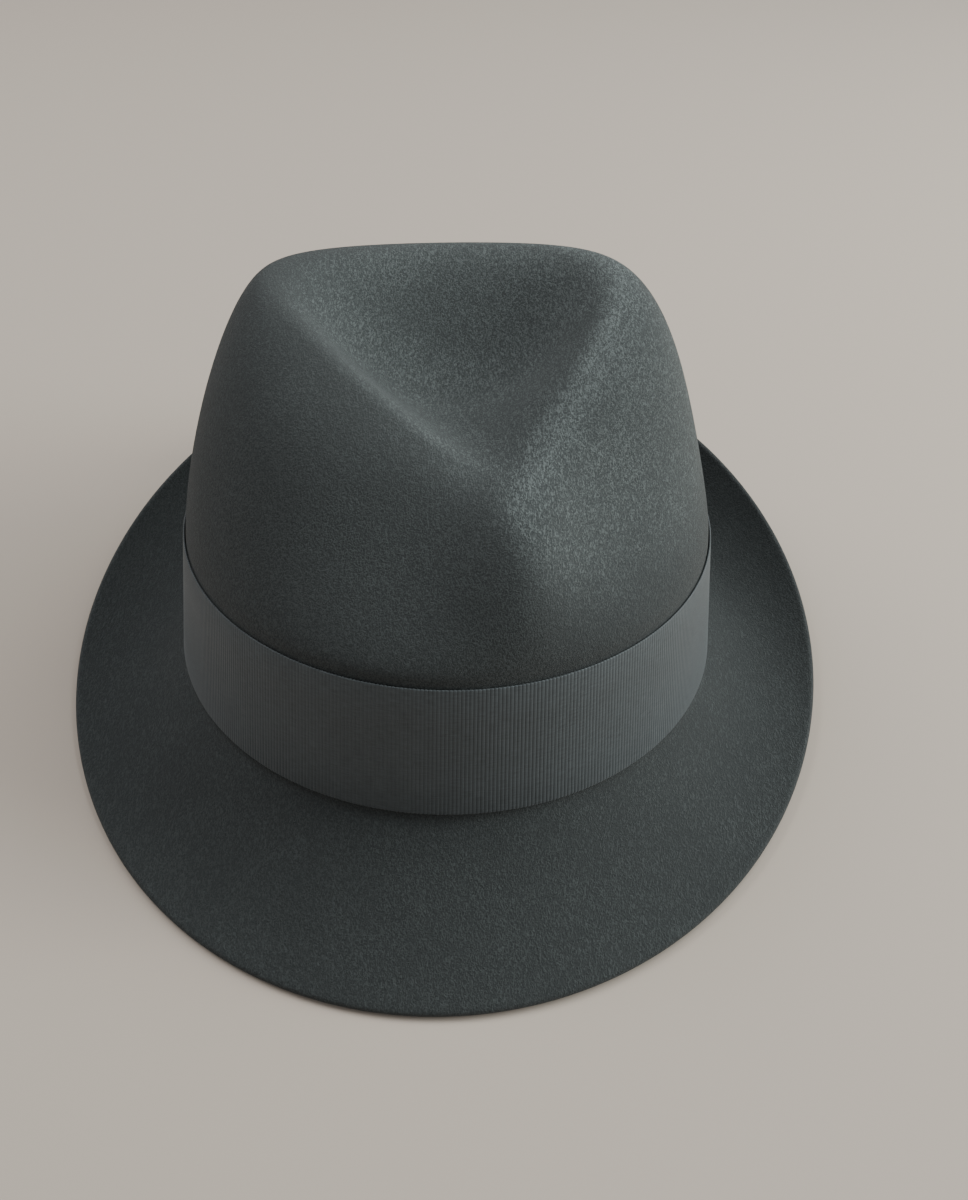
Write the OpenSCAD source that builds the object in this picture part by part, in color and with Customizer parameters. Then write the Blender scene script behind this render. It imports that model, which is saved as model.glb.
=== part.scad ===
// Felt trilby: a creased teardrop crown and a short curled brim in one piece of felt, with a grosgrain
// ribbon and bow outside, and a leather sweatband and a satin lining inside.
// The hat is shaped in its own level frame: the front is at -Y, the wearer's left at +X, and the foot of
// the crown, where it meets the brim, at z = 0. It is then tipped back to stand on its brim.

/* [Head opening] */
// Length inside the sweatband, front to back
head_length = 189; // [176:1:204]
// Width inside the sweatband
head_width = 169; // [156:1:182]

/* [Felt] */
// Thickness of the felt
felt_t = 2.4; // [1.6:0.1:3.2]
// Radius of the break between crown and brim
break_r = 2; // [1.4:0.1:3]

/* [Crown] */
// Height of the ridge at the sides
crown_side_h = 107; // [98:1:116]
// Height of the ridge at the front
crown_front_h = 80; // [75:0.5:86]
// Height of the ridge at the back
crown_back_h = 107.5; // [100:0.5:114]
// Lean of the wall at the sides, in degrees
side_lean = 6.5; // [3:0.5:9]
// Lean of the wall at the front and back, in degrees
end_lean = 3.5; // [1:0.5:6]
// Straight wall left bare above the ribbon
wall_margin = 2; // [1:0.5:5]
// Share of the rise above the straight wall that keeps the wall's lean
wall_rise = 0.34; // [0.25:0.01:0.45]
// Reach of the rounded shoulder, as a share of the way in to the ridge
shoulder = 0.72; // [0.6:0.01:0.85]

/* [Crease] */
// Distance from the crown's foot in to the ridge, at the sides
ridge_in_side = 36; // [31:0.5:41]
// Distance from the crown's foot in to the ridge, at the front
ridge_in_front = 57; // [50:0.5:64]
// Distance from the crown's foot in to the ridge, at the back
ridge_in_back = 30; // [25:0.5:36]
// Sharpness of the teardrop's front tip
tip_sharp = 0.95; // [0.7:0.05:1.2]
// Rounding of the teardrop's front tip
tip_round = 0.35; // [0.25:0.05:0.5]
// Turn of the crease about the vertical, in degrees
crease_turn = 10; // [-14:0.5:14]
// Shift of the crease to the wearer's left
crease_shift = 3; // [-6:0.5:6]
// Depth of the crease below the front of the ridge
crease_depth = 3; // [0:0.5:8]
// Distance of the crease's lowest point behind the middle
crease_back = 5; // [-2:1:14]
// Softness of the ridge on its inner side, as a share of the way to the lowest point
ridge_soft = 0.3; // [0.25:0.01:0.4]
// Width of the crease's floor, as a share of the way to the ridge
floor_soft = 0.55; // [0.4:0.01:0.65]
// Keel between the two pinches, in degrees round from the front to the wearer's left
keel_at = 16; // [-20:1:20]
// Roundness of the keel, in degrees
keel_soft = 5; // [3:0.5:10]
// Angle from the keel to the deepest place of each pinch, in degrees
pinch_at = 27; // [22:1:32]
// Draw of each pinch on the shoulder, as a share of its reach
pinch_depth = 0.2; // [0:0.01:0.3]
// Depth of the dent that each pinch leaves half way up the shoulder
dent_depth = 9; // [0:0.5:11]

/* [Brim] */
// Width of the brim at the front
brim_front_w = 52; // [44:1:60]
// Width of the brim at the sides
brim_side_w = 39.5; // [34:0.5:46]
// Width of the brim at the back
brim_back_w = 55; // [48:1:60]
// Slope at the crown in front, in degrees
slope_front = -36; // [-42:1:-28]
// Slope at the crown at the sides, in degrees
slope_side = -27.5; // [-34:0.5:-20]
// Slope at the crown at the back, in degrees
slope_back = 39; // [30:1:46]
// Slope at the edge in front, in degrees
curl_front = -30; // [-36:1:-20]
// Slope at the edge at the sides, in degrees
curl_side = 24; // [14:1:32]
// Slope at the edge at the back, in degrees
curl_back = 93; // [78:1:100]
// Share of the width that stays straight next to the crown
curl_start = 0.15; // [0.1:0.01:0.3]
// Turn of the brim's dip about the vertical, in degrees
brim_turn = -4; // [-8:1:8]

/* [Ribbon] */
// Width of the ribbon
ribbon_w = 42.5; // [34:0.5:48]
// Thickness of the ribbon
ribbon_t = 0.6; // [0.4:0.05:0.9]

/* [Bow] */
// Middle of the bow, in degrees round from the front to the wearer's left
bow_at = 126; // [105:1:128]
// Length of the bow along the ribbon
bow_l = 66; // [56:1:76]
// Height of the bow's loops off the ribbon
bow_puff = 4.2; // [3:0.1:5]
// Inset of the bow from each edge of the ribbon
bow_inset = 1.6; // [1.4:0.1:3]
// Width of the keeper round the middle of the bow
keeper_w = 11; // [8:0.5:15]

/* [Sweatband] */
// Height of the sweatband
sweat_h = 36; // [30:0.5:42]
// Thickness of the leather
sweat_t = 1; // [0.8:0.05:1.4]
// Gap left at the butt seam
seam_gap = 0.4; // [0.2:0.1:0.8]
// Diameter of the reed along the lower edge
reed_d = 1.6; // [1.2:0.1:2]
// Height of the reed's middle above the crown's foot
reed_lift = 1.2; // [1:0.1:2]
// Length of the small bow over the seam
seam_bow_l = 24; // [18:1:30]
// Width of the small bow's strip
seam_bow_w = 6; // [4:0.5:8]
// Thickness of the small bow's strip
seam_bow_t = 0.5; // [0.4:0.05:0.7]
// Height of the small bow's loops off the leather
seam_bow_puff = 2; // [1.6:0.1:2.6]
// Distance of the small bow below the sweatband's upper edge
seam_bow_drop = 12; // [8:1:18]

/* [Lining] */
// Thickness of the satin
lining_t = 0.4; // [0.3:0.05:0.6]
// Height of the lining's lower edge, behind the sweatband
lining_low = 14; // [8:1:24]
// Share of the rise to the ridge where the wall of the lining meets its top
lining_seam = 0.6; // [0.4:0.02:0.8]

/* [Fit] */
// Clearance between pieces that lie on each other
fit_gap = 0.25; // [0.2:0.05:0.35]

/* [Hidden] */

felt_color = "#2b2d2e";
ribbon_color = "#26292a";
leather_color = "#3a2a20";
reed_color = "#1d1e20";
satin_color = "#1d1f22";

// Steps round the hat, and rows of each stretch from the brim's edge to the bottom of the crease. The
// shoulder is split where the lining has its seam, so that felt and lining share their rows.
steps = 64;
brim_rows = 8;
break_rows = 2;
wall_rows = 3;
shoulder_rows = 5;
top_rows = 4;
crease_rows = 7;
edge_rows = 3;

// Depths below the felt's outer face of what lies inside the crown
lining_depth = felt_t + fit_gap;
sweat_depth = lining_depth + lining_t + fit_gap;
head_depth = sweat_depth + sweat_t;

// Half axes of the crown's foot, on the outer face of the felt
foot_x = head_width / 2 + head_depth;
foot_y = head_length / 2 + head_depth;

// The ribbon's lower edge stands just clear of the break, and the straight wall goes on above its upper edge
ribbon_low = break_r + fit_gap;
ribbon_top = ribbon_low + ribbon_w;
straight_h = ribbon_top + wall_margin;
sweat_low = reed_lift + reed_d / 2 + fit_gap;
sweat_top = sweat_low + sweat_h;

crease_low = [0, crease_back, crown_front_h - crease_depth];

// A value that goes from the front's to the side's to the back's, smoothly round the hat
function around(t, front, side, back) =
    let (c = cos(t)) side + (front - back) / 2 * c + ((front + back) / 2 - side) * c * c;

function cubic(a, b, c, d, s) =
    let (r = 1 - s) r * r * r * a + 3 * r * r * s * b + 3 * r * s * s * c + s * s * s * d;

function unit(v) = v / norm(v);

// Foot of the crown at an angle from the front, and the level direction out of it
function foot(t) = [foot_x * sin(t), -foot_y * cos(t), 0];
function outward(t) = unit([sin(t) / foot_x, -cos(t) / foot_y, 0]);

// Brim at a distance s from the foot, as a share of its width: straight, then curled into an arc.
// The arc's chord leaves at half its turn and is shorter than the arc by sin(turn / 2) / (turn / 2).
function brim_w(t) = around(t - brim_turn, brim_front_w, brim_side_w, brim_back_w);
function brim(t, s) =
    let (
        slope = around(t - brim_turn, slope_front, slope_side, slope_back),
        curl = around(t - brim_turn, curl_front, curl_side, curl_back),
        flat = min(s, curl_start) * brim_w(t),
        arc = max(0, s - curl_start) * brim_w(t),
        half = (curl - slope) * max(0, s - curl_start) / (1 - curl_start) / 2,
        chord = abs(half) < 0.01 ? arc : arc * sin(half) / (half * PI / 180)
    )
    foot(t) + outward(t) * (flat * cos(slope) + chord * cos(slope + half))
    + [0, 0, flat * sin(slope) + chord * sin(slope + half)];

// Straight leaning wall behind the ribbon, and the direction out of it
function wall(t, z) =
    [(foot_x - z * tan(side_lean)) * sin(t), -(foot_y - z * tan(end_lean)) * cos(t), z];
function wall_up(t) = [-tan(side_lean) * sin(t), tan(end_lean) * cos(t), 1];
function wall_along(t, z) =
    [(foot_x - z * tan(side_lean)) * cos(t), (foot_y - z * tan(end_lean)) * sin(t), 0];
function wall_out(t, z) = unit(cross(wall_along(t, z), wall_up(t)));

// A point off the wall: at height z, and w out from it or, where w is negative, in
function off_wall(t, z, w) = wall(t, z) + wall_out(t, z) * w;

// Ridge of the crown: a teardrop with a rounded tip in front, turned and shifted as the crease is
ridge_peak = let (u = atan(sqrt(tip_sharp + 1))) sin(2 * u) * pow(sin(u), tip_sharp);
function ridge_h(t) = around(t, crown_front_h, crown_side_h, crown_back_h);
function ridge(t) =
    let (
        front = -foot_y + ridge_in_front,
        back = foot_y - ridge_in_back,
        taper = pow(norm([sin(t / 2), tip_round]), tip_sharp),
        x = (foot_x - ridge_in_side) * sin(t) * taper / ridge_peak,
        y = (back + front) / 2 - (back - front) / 2 * cos(t)
    )
    [
        x * cos(crease_turn) - y * sin(crease_turn) + crease_shift,
        x * sin(crease_turn) + y * cos(crease_turn),
        ridge_h(t)
    ];

// Pinch: grows evenly from the rounded keel to its full draw at pinch_at, and fades towards the sides
function from_keel(t) =
    let (m = ((t - keel_at) % 360 + 360) % 360)
    norm([min(m, 360 - m), keel_soft]) - keel_soft;
function pinch(t) = let (a = from_keel(t) / pinch_at) a * exp((1 - a * a) / 2);

// Shoulder: from the top of the straight wall over to the level of the ridge, drawn in and dented by the
// pinches on both sides of the keel. A dent is deepest half way up and fades to nothing at both ends.
function shoulder_point(t, s) =
    let (
        low = wall(t, straight_h),
        top = ridge(t),
        up = low + wall_up(t) * wall_rise * (top.z - straight_h),
        level = [up.x, up.y, top.z],
        over = top + (level - top) * (shoulder - pinch_depth * pinch(t))
    )
    cubic(low, up, over, top, s) - outward(t) * dent_depth * pinch(t) * 16 * pow(s * (1 - s), 2);

// Crease: from the ridge down to its lowest point
function crease_point(t, s) =
    let (
        top = ridge(t),
        inward = [crease_low.x - top.x, crease_low.y - top.y, 0]
    )
    cubic(top, top + inward * ridge_soft, crease_low - inward * floor_soft, crease_low, s);

// Outer face of the felt. The whole part of w picks the stretch, and its fraction the place in it:
// 0 brim from its edge, 1 break, 2 wall, 3 shoulder, 4 crease.
function break_point(t, s) =
    let (a = brim(t, break_r / brim_w(t)), b = wall(t, break_r), r = 1 - s)
    r * r * a + 2 * r * s * foot(t) + s * s * b;
function outer(t, w) =
    let (edge = 1 - felt_t / 2 / brim_w(t), inner = break_r / brim_w(t))
    w < 1 ? brim(t, edge + (inner - edge) * w)
    : w < 2 ? break_point(t, w - 1)
    : w < 3 ? wall(t, break_r + (straight_h - break_r) * (w - 2))
    : w < 4 ? shoulder_point(t, w - 3)
    : crease_point(t, w - 4);

// Directions along the outer face, away from the crown's top and out of the felt
function downhill(t, w) = unit(outer(t, w - 0.01) - outer(t, w + 0.01));
function normal(t, w) = unit(cross(downhill(t, w), outer(t + 0.5, w) - outer(t - 0.5, w)));

// A face at a depth below the outer one, as a ring of points round the hat
function ring(w, depth) =
    [for (j = [0 : steps - 1]) let (t = 360 * j / steps) outer(t, w) - normal(t, w) * depth];
function spread(from, to, count) = [for (i = [0 : count - 1]) from + (to - from) * i / count];
seam_w = 3 + lining_seam;
shoulder_ws = spread(3, seam_w, shoulder_rows);
top_ws = concat(spread(seam_w, 4, top_rows), spread(4, 5, crease_rows));
felt_ws = concat(spread(0, 1, brim_rows), spread(1, 2, break_rows), spread(2, 3, wall_rows),
                 shoulder_ws, top_ws);
function reversed(v) = [for (i = [len(v) - 1 : -1 : 0]) v[i]];

// Rounded raw edge of the brim, from its lower face to its upper
function edge_ring(share) =
    [
        for (j = [0 : steps - 1])
        let (t = 360 * j / steps, n = normal(t, 0), a = 180 * share)
        outer(t, 0) - n * felt_t / 2 * (1 + cos(a)) + downhill(t, 0) * felt_t / 2 * sin(a)
    ];

// Felt as rings from the middle of its lower face, out round the edge and back over its upper face
felt_rings = concat(
    [for (w = reversed(felt_ws)) ring(w, felt_t)],
    [for (i = [1 : edge_rows]) edge_ring(i / (edge_rows + 1))],
    [for (w = felt_ws) ring(w, 0)]
);

// Stance: the hat tips back until the turned-up back or the sides meet the ground with the front edge
felt_points = [for (r = felt_rings) each r];
function lowest(points) = min([for (p = points) p.z]);
felt_low = lowest(felt_points);
front_low = [for (p = felt_points) if (p.z == felt_low) p][0];
rest_tilt = min([
    for (p = felt_points)
    if (p.y > 0) atan2(p.z - front_low.z, p.y - front_low.y)
]);
function tipped(p) =
    [p.x, p.y * cos(rest_tilt) + p.z * sin(rest_tilt), p.z * cos(rest_tilt) - p.y * sin(rest_tilt)];
stood_points = [for (p = felt_points) tipped(p)];
function middle(values) = (min(values) + max(values)) / 2;
stand = -[
    middle([for (p = stood_points) p.x]),
    middle([for (p = stood_points) p.y]),
    lowest(stood_points)
];
module stood() {
    translate(stand) rotate([-rest_tilt, 0, 0]) children();
}

// A solid through closed sections of equal length: a tube with its ends capped, or a loop.
// Each section runs counter-clockwise as seen looking back along the path.
function mean(points) = [for (p = points) 1 / len(points)] * points;
module loft(sections, looped = false) {
    m = len(sections[0]);
    n = len(sections);
    points = concat([for (s = sections) each s], [mean(sections[0]), mean(sections[n - 1])]);
    sides = [
        for (i = [0 : n - (looped ? 1 : 2)], j = [0 : m - 1])
        let (
            a = i * m + j,
            b = i * m + (j + 1) % m,
            c = (i + 1) % n * m + (j + 1) % m,
            d = (i + 1) % n * m + j
        )
        each [[a, d, c], [a, c, b]]
    ];
    caps = looped ? [] : [
        for (j = [0 : m - 1])
        let (k = (j + 1) % m, last = (n - 1) * m)
        each [[n * m, j, k], [n * m + 1, last + k, last + j]]
    ];
    polyhedron(points = looped ? [for (s = sections) each s] : points, faces = concat(sides, caps));
}

// A flat strip standing on the wall, from one angle round to another, between two heights and offsets
module wall_strip(from, to, low, top, back, face) {
    count = ceil((to - from) / 360 * steps);
    loft([
        for (i = [0 : count])
        let (t = from + (to - from) * i / count)
        [off_wall(t, low, face), off_wall(t, low, back), off_wall(t, top, back), off_wall(t, top, face)]
    ]);
}

// A closed band pressed flat into two loops on the wall, pinched in the middle. side is 1 outside the
// wall and -1 inside it, and seat is the offset of the face that the band lies on.
module flat_bow(at, length, low, top, seat, side, thick, puff) {
    count = 36;
    half = length / 2 - thick;
    fold = 0.3;
    waist = (thick + fit_gap) / 2;
    belly = puff - thick - 2 * waist;
    per_mm = 180 / PI / norm(off_wall(at + 90, low, seat) - [0, 0, low]);
    path = [
        for (i = [0 : count - 1])
        let (
            a = 360 * i / count,
            rise = sqrt(pow(sin(a), 2) + fold * fold) + sin(a)
        )
        [half * cos(a), thick / 2 + (waist + belly * 1.3 * pow(cos(a), 2)) * rise]
    ];
    loft([
        for (i = [0 : count - 1])
        let (
            p = path[i],
            along = unit(path[(i + 1) % count] - path[(i + count - 1) % count]),
            n = [along.y, -along.x] * thick / 2,
            o = p + n,
            q = p - n,
            face = [at + o.x * per_mm, seat + side * o.y],
            back = [at + q.x * per_mm, seat + side * q.y],
            section = [off_wall(face[0], low, face[1]), off_wall(face[0], top, face[1]),
                       off_wall(back[0], top, back[1]), off_wall(back[0], low, back[1])]
        )
        side > 0 ? section : reversed(section)
    ], looped = true);
}

module felt_body() {
    color(felt_color) stood() loft(felt_rings);
}

// Ends meet edge to edge under the middle of the bow
module ribbon_band() {
    gap = fit_gap / foot_x * 180 / PI;
    color(ribbon_color) stood()
        wall_strip(bow_at + gap / 2, bow_at + 360 - gap / 2, ribbon_low, ribbon_top, fit_gap, ribbon_face);
}

// Offsets from the wall of what is stacked on it at the bow
ribbon_face = fit_gap + ribbon_t;
keeper_back = ribbon_face + fit_gap;
bow_seat = keeper_back + ribbon_t + fit_gap;
bow_low = ribbon_low + bow_inset;
bow_top = ribbon_top - bow_inset;
bow_waist_face = bow_seat + 2 * ribbon_t + 2 * fit_gap;

module ribbon_bow() {
    color(ribbon_color) stood()
        flat_bow(bow_at, bow_l, bow_low, bow_top, bow_seat, 1, ribbon_t, bow_puff);
}

// A band across the ribbon that closes behind the bow
module keeper_loop() {
    half = keeper_w / 2 / foot_y * 180 / PI;
    out = fit_gap + ribbon_t;
    front = bow_waist_face + fit_gap;
    inner = [[bow_low - fit_gap, bow_seat - fit_gap], [bow_top + fit_gap, bow_seat - fit_gap],
             [bow_top + fit_gap, front], [bow_low - fit_gap, front]];
    outer_path = [[bow_low - out, keeper_back], [bow_top + out, keeper_back],
                  [bow_top + out, front + ribbon_t], [bow_low - out, front + ribbon_t]];
    loft([
        for (i = [0 : 3])
        let (a = outer_path[i], b = inner[i])
        [off_wall(bow_at - half, a[0], a[1]), off_wall(bow_at - half, b[0], b[1]),
         off_wall(bow_at + half, b[0], b[1]), off_wall(bow_at + half, a[0], a[1])]
    ], looped = true);
}
module bow_keeper() {
    color(ribbon_color) stood() keeper_loop();
}

module sweatband() {
    gap = seam_gap / foot_x * 180 / PI;
    color(leather_color) stood()
        wall_strip(180 + gap / 2, 540 - gap / 2, sweat_low, sweat_top, -head_depth, -sweat_depth);
}

// A ring under the sweatband's lower edge
module sweatband_reed() {
    sides = 6;
    depth = sweat_depth + sweat_t / 2;
    color(reed_color) stood()
        loft([
            for (j = [0 : steps - 1])
            let (t = 360 * j / steps, c = off_wall(t, reed_lift, -depth), n = outward(t))
            [
                for (k = [0 : sides - 1])
                let (a = -360 * k / sides)
                c + reed_d / 2 * (n * cos(a) + [0, 0, sin(a)])
            ]
        ], looped = true);
}

module sweatband_bow() {
    top = sweat_top - seam_bow_drop;
    color(ribbon_color) stood()
        flat_bow(180, seam_bow_l, top - seam_bow_w, top, -head_depth - fit_gap, -1,
                 seam_bow_t, seam_bow_puff);
}

// The wall of the lining runs from behind the sweatband to the seam below the ridge
lining_w = 2 + (lining_low - break_r) / (straight_h - break_r);
module lining_side() {
    ws = concat([lining_w], shoulder_ws, [seam_w]);
    rings = concat(
        [for (w = reversed(ws)) ring(w, lining_depth)],
        [for (w = ws) ring(w, lining_depth + lining_t)]
    );
    color(satin_color) stood()
        loft([for (j = [0 : steps - 1]) [for (r = rings) r[j]]], looped = true);
}

// The top of the lining follows the felt over the ridge and under the crease
module lining_tip() {
    start = seam_w + fit_gap / (crown_front_h - straight_h);
    ws = [for (w = top_ws) max(w, start)];
    color(satin_color) stood()
        loft(concat(
            [for (w = reversed(ws)) ring(w, lining_depth + lining_t)],
            [for (w = ws) ring(w, lining_depth)]
        ));
}

felt_body();
ribbon_band();
ribbon_bow();
bow_keeper();
sweatband();
sweatband_reed();
sweatband_bow();
lining_side();
lining_tip();
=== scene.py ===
"""Black felt trilby: the look of every piece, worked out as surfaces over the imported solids.

Shapes are worked out in the hat's own level frame, in metres: the front of the brim is at -Y, the wearer's
left at +X, and the foot of the crown at z = 0. The finished surfaces are then tipped back and lifted to stand
on the brim, as the solids do.
"""

import math

import bpy
import numpy as np
from mathutils import Matrix, Vector


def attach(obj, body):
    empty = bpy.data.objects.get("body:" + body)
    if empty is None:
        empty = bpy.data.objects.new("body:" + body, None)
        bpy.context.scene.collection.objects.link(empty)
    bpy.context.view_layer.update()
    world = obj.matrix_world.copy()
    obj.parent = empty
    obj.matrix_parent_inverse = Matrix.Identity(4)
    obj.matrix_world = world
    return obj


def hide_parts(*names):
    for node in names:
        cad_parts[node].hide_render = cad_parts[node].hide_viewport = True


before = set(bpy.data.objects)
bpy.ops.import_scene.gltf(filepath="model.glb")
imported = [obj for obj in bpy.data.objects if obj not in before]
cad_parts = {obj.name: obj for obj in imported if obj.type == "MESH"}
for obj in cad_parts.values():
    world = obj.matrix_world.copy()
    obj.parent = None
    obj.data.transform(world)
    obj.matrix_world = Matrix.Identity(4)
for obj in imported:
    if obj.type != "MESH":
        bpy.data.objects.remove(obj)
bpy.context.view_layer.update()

bl_info = {
    "name": "Felt trilby",
    "version": (1, 0, 0),
    "blender": (4, 5, 0),
    "location": "3D View > Sidebar > Trilby",
    "description": "Builds a black felt trilby with its ribbon, bow, sweatband and lining",
    "category": "Add Mesh",
}

MM = 0.001
TURN = 2 * math.pi
PHOTO_TALL = 1200  # pixels
SENSOR_TALL = 36.0  # millimetres
FINE = 4000  # points on a line that is then divided evenly
OUTLINE = 720  # points on the outline of a bow or keeper
RIB_POINTS = 8  # points along each rib of the ribbon
SLOPE_STEP = 0.004  # step of t and w for slopes of the felt


def linear(code):
    """Scene-linear colour of an sRGB hex code."""
    c = np.array([int(code[i:i + 2], 16) for i in (1, 3, 5)]) / 255
    return tuple(float(v) for v in np.where(c <= 0.04045, c / 12.92, ((c + 0.055) / 1.055) ** 2.4))


def number(value, name, description, **kind):
    """A plain number property."""
    return bpy.props.FloatProperty(name=name, description=description, default=value, **kind)


def length(mm, name, description):
    """A length property, given in millimetres and kept in metres."""
    return number(mm * MM, name, description, unit="LENGTH", precision=4)


def angle(degrees, name, description):
    """An angle property, given in degrees and kept in radians."""
    return number(math.radians(degrees), name, description, unit="ROTATION")


def share(value, name, description):
    """A property for a share, from 0 to 1."""
    return number(value, name, description, subtype="FACTOR")


def power(watts, name, description):
    """A property for the power of a light."""
    return number(watts, name, description, unit="POWER")


def colour(code, name, description):
    """A colour property, given as an sRGB hex code and kept linear."""
    return bpy.props.FloatVectorProperty(
        name=name, description=description, default=linear(code), size=3, min=0, max=1, subtype="COLOR")


class TrilbySizes(bpy.types.PropertyGroup):
    """Sizes of the hat, as the solids have them, and the finer sizes of its cloth."""

    head_length: length(189, "Head length", "Inside the sweatband, front to back")
    head_width: length(169, "Head width", "Inside the sweatband, across")
    felt_t: length(2.4, "Felt thickness", "Thickness of the felt")
    break_r: length(2, "Break radius", "Radius of the break between crown and brim")
    crown_side_h: length(107, "Crown height, sides", "Height of the ridge at the sides")
    crown_front_h: length(80, "Crown height, front", "Height of the ridge at the front")
    crown_back_h: length(107.5, "Crown height, back", "Height of the ridge at the back")
    side_lean: angle(6.5, "Side lean", "Lean of the wall at the sides")
    end_lean: angle(3.5, "End lean", "Lean of the wall at the front and back")
    wall_margin: length(2, "Bare wall", "Straight wall left bare above the ribbon")
    wall_rise: share(0.34, "Wall rise", "Share of the rise over the straight wall that keeps its lean")
    shoulder: share(0.72, "Shoulder", "Reach of the rounded shoulder, as a share of the way in to the ridge")
    ridge_in_side: length(36, "Ridge inset, sides", "From the crown's foot in to the ridge, at the sides")
    ridge_in_front: length(57, "Ridge inset, front", "From the crown's foot in to the ridge, at the front")
    ridge_in_back: length(30, "Ridge inset, back", "From the crown's foot in to the ridge, at the back")
    tip_sharp: share(0.95, "Tip sharpness", "Sharpness of the teardrop's front tip")
    tip_round: share(0.35, "Tip rounding", "Rounding of the teardrop's front tip")
    crease_turn: angle(10, "Crease turn", "Turn of the crease about the vertical")
    crease_shift: length(3, "Crease shift", "Shift of the crease to the wearer's left")
    crease_depth: length(3, "Crease depth", "Depth of the crease below the front of the ridge")
    crease_back: length(5, "Crease place", "Distance of the crease's lowest point behind the middle")
    ridge_soft: share(0.3, "Ridge softness", "Softness of the ridge on its inner side")
    floor_soft: share(0.55, "Crease floor", "Width of the crease's floor")
    keel_at: angle(16, "Keel place", "Keel between the pinches, round from the front to the left")
    pinch_at: angle(27, "Pinch place", "Angle from the keel to each pinch")
    keel_soft: angle(5, "Keel softness", "How round the keel is")
    pinch_depth: share(0.2, "Pinch draw", "Draw of each pinch on the shoulder, as a share of its reach")
    dent_depth: length(9, "Pinch dent", "Depth of the dent that each pinch leaves half way up the shoulder")
    brim_front_w: length(52, "Brim width, front", "Width of the brim at the front")
    brim_side_w: length(39.5, "Brim width, sides", "Width of the brim at the sides")
    brim_back_w: length(55, "Brim width, back", "Width of the brim at the back")
    slope_front: angle(-36, "Brim slope, front", "Slope at the crown in front")
    slope_side: angle(-27.5, "Brim slope, sides", "Slope at the crown at the sides")
    slope_back: angle(39, "Brim slope, back", "Slope at the crown at the back")
    curl_front: angle(-30, "Brim edge, front", "Slope at the edge in front")
    curl_side: angle(24, "Brim edge, sides", "Slope at the edge at the sides")
    curl_back: angle(93, "Brim edge, back", "Slope at the edge at the back")
    brim_turn: angle(-4, "Brim turn", "Turn of the brim's dip about the vertical, to the wearer's left")
    curl_start: share(0.15, "Curl start", "Share of the width that stays straight next to the crown")
    ribbon_w: length(42.5, "Ribbon width", "Width of the ribbon")
    ribbon_t: length(0.6, "Ribbon thickness", "Thickness of the ribbon over its ribs")
    rib_pitch: length(1.1, "Rib pitch", "Distance from rib to rib along the ribbon")
    rib_cut: share(0.5, "Rib depth", "Depth of the grooves, as a share of half the thickness")
    bow_at: angle(126, "Bow place", "Middle of the bow, round from the front to the wearer's left")
    bow_l: length(66, "Bow length", "Length of the bow along the ribbon")
    bow_puff: length(4.2, "Bow puff", "Height of the bow's loops off the ribbon")
    bow_inset: length(1.6, "Bow inset", "Inset of the bow from each edge of the ribbon")
    keeper_w: length(11, "Keeper width", "Width of the keeper round the middle of the bow")
    sweat_h: length(36, "Sweatband height", "Height of the sweatband")
    sweat_t: length(1, "Sweatband thickness", "Thickness of the leather")
    seam_gap: length(0.4, "Seam gap", "Gap left at the sweatband's butt seam")
    reed_d: length(1.6, "Reed diameter", "Diameter of the reed along the sweatband's lower edge")
    reed_lift: length(1.2, "Reed height", "Height of the reed's middle above the crown's foot")
    seam_bow_l: length(24, "Seam bow length", "Length of the small bow over the sweatband's seam")
    seam_bow_w: length(6, "Seam bow width", "Width of the small bow's strip")
    seam_bow_t: length(0.5, "Seam bow thickness", "Thickness of the small bow's strip")
    seam_bow_puff: length(2, "Seam bow puff", "Height of the small bow's loops off the leather")
    seam_bow_drop: length(12, "Seam bow drop", "Distance of the small bow below the sweatband's upper edge")
    stitch_l: length(3, "Stitch length", "Length of one stitch of the sweatband's seam")
    stitch_pitch: length(4.2, "Stitch pitch", "Distance from stitch to stitch")
    stitch_d: length(0.5, "Thread diameter", "Diameter of the sewing thread")
    lining_t: length(0.4, "Lining thickness", "Thickness of the satin")
    lining_low: length(14, "Lining foot", "Height of the lining's lower edge, behind the sweatband")
    lining_seam: share(0.6, "Lining seam", "Share of the shoulder where the lining's wall meets its top")
    gather_depth: length(0.8, "Gather depth", "Depth of the lining's gathers at its seam")
    gathers: bpy.props.IntProperty(
        name="Gathers", description="Gathers round the lining's seam", default=96, min=8)
    fit_gap: length(0.25, "Clearance", "Clearance between pieces that lie on each other")


class TrilbyColours(bpy.types.PropertyGroup):
    """Colours of the hat's materials and of the floor."""

    felt_dark: colour("#222525", "Felt, deep", "Between the fibres of the felt")
    felt_light: colour("#474c4b", "Felt, nap", "Raised fibres of the felt")
    ribbon: colour("#3d4244", "Ribbon", "Grosgrain ribbon")
    leather: colour("#3a2a22", "Leather", "Sweatband")
    tape: colour("#1d1e20", "Tape", "Tape over the reed")
    satin: colour("#1e2125", "Satin", "Lining")
    thread: colour("#17181a", "Thread", "Sewing thread")
    floor: colour("#b0a397", "Floor", "Plain floor under the hat")


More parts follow.
